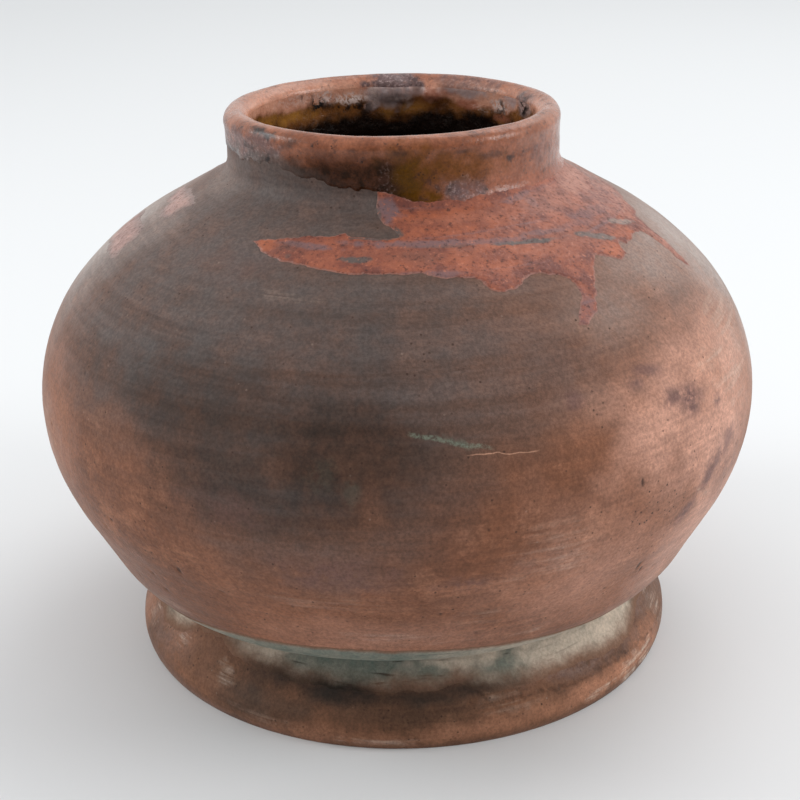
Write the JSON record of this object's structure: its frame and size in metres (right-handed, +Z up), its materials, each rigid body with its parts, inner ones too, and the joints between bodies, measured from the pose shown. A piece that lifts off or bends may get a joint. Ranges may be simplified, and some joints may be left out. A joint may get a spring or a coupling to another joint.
{
  "type": "ring-footed earthenware jar",
  "caption": "Squat round earthenware water jar with a ring foot, short collar and rolled lip, glazed inside and on the rim, with a red glaze run on the shoulder.",
  "frame": {"origin": "on the turning axis, at the level of the sole that the jar stands on", "axes": "+Z up along the turning axis, -Y towards the front, where the glaze run is"},
  "size_m": [0.3, 0.3, 0.23],
  "materials": {
    "clay": "matte",
    "foot_clay": "matte",
    "slip": "matte",
    "lining_glaze": "gloss",
    "rim_glaze": "gloss",
    "run_glaze": "satin",
    "lime": "chalky"
  },
  "bodies": {
    "root": {"floor_disc": "clay", "lower_bowl": "clay", "shoulder_dome": "clay", "neck_collar": "clay", "lip_coil": "clay", "foot_ring": "foot_clay", "floor_slip": "slip", "belly_slip": "slip", "neck_slip": "slip", "lip_slip": "slip", "foot_slip": "slip", "lining_glaze": "lining_glaze", "rim_glaze": "rim_glaze", "shoulder_run": "run_glaze", "shoulder_flakes": "run_glaze", "crevice_lime": "lime"}
  },
  "joints": []
}
